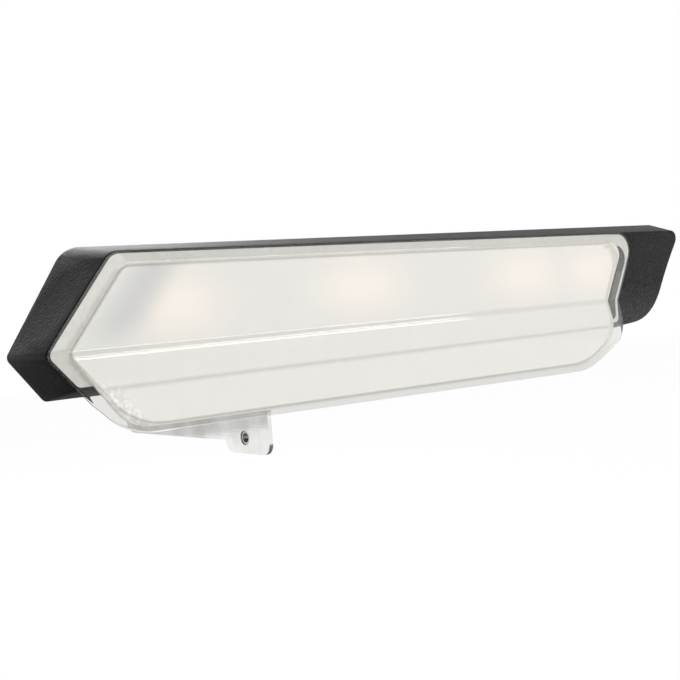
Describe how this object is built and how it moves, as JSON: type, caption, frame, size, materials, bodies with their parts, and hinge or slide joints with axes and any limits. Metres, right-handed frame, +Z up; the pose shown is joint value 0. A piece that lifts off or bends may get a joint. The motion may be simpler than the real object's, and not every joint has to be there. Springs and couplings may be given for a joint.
{
  "type": "vehicle front lamp",
  "caption": "Long slim vehicle headlight unit with a pointed black housing, a creased clear lens over a frosted plate, a chin below the housing and a bright sheet bracket.",
  "frame": {"origin": "on the rear mounting plane, midway between the two threaded inserts in the rear cover", "axes": "+X along the lamp to the right as seen from the front, +Y to the rear along the inserts, +Z up"},
  "size_m": [0.4339, 0.1291, 0.0962],
  "materials": {
    "grained_black_plastic": "fine moulded grain",
    "white_sealant": "matte",
    "clear_acrylic": "polished clear",
    "frosted_acrylic": "frosted",
    "white_plastic": "satin white",
    "board_laminate": "solder resist",
    "led_package": "silicone",
    "bare_aluminium": "rolled",
    "zinc_screw": "zinc plated",
    "chip_resin": "moulded resin",
    "coil_ferrite": "ferrite",
    "capacitor_can": "can",
    "smooth_black_plastic": "smooth moulded",
    "brass_insert": "turned",
    "socket_plastic": "moulded",
    "tinned_brass": "tinned",
    "vent_plastic": "moulded",
    "bright_steel_sheet": "bright plated",
    "nut_steel": "zinc plated"
  },
  "bodies": {
    "root": {"housing": "grained_black_plastic", "lens_seal": "white_sealant", "outer_lens": "clear_acrylic", "inner_diffuser": "frosted_acrylic", "reflector_tray": "white_plastic", "led_board": "board_laminate", "led_1": "led_package", "led_2": "led_package", "led_3": "led_package", "led_4": "led_package", "heat_spreader": "bare_aluminium", "board_screws": "zinc_screw", "driver_chip": "chip_resin", "driver_coil": "coil_ferrite", "capacitors": "capacitor_can", "back_cover": "smooth_black_plastic", "cover_screws": "zinc_screw", "mount_inserts": "brass_insert", "plug_socket": "socket_plastic", "contact_pins": "tinned_brass", "vent_cap": "vent_plastic", "mounting_bracket": "bright_steel_sheet", "bracket_screws": "zinc_screw", "clinch_nut": "nut_steel"}
  },
  "joints": []
}
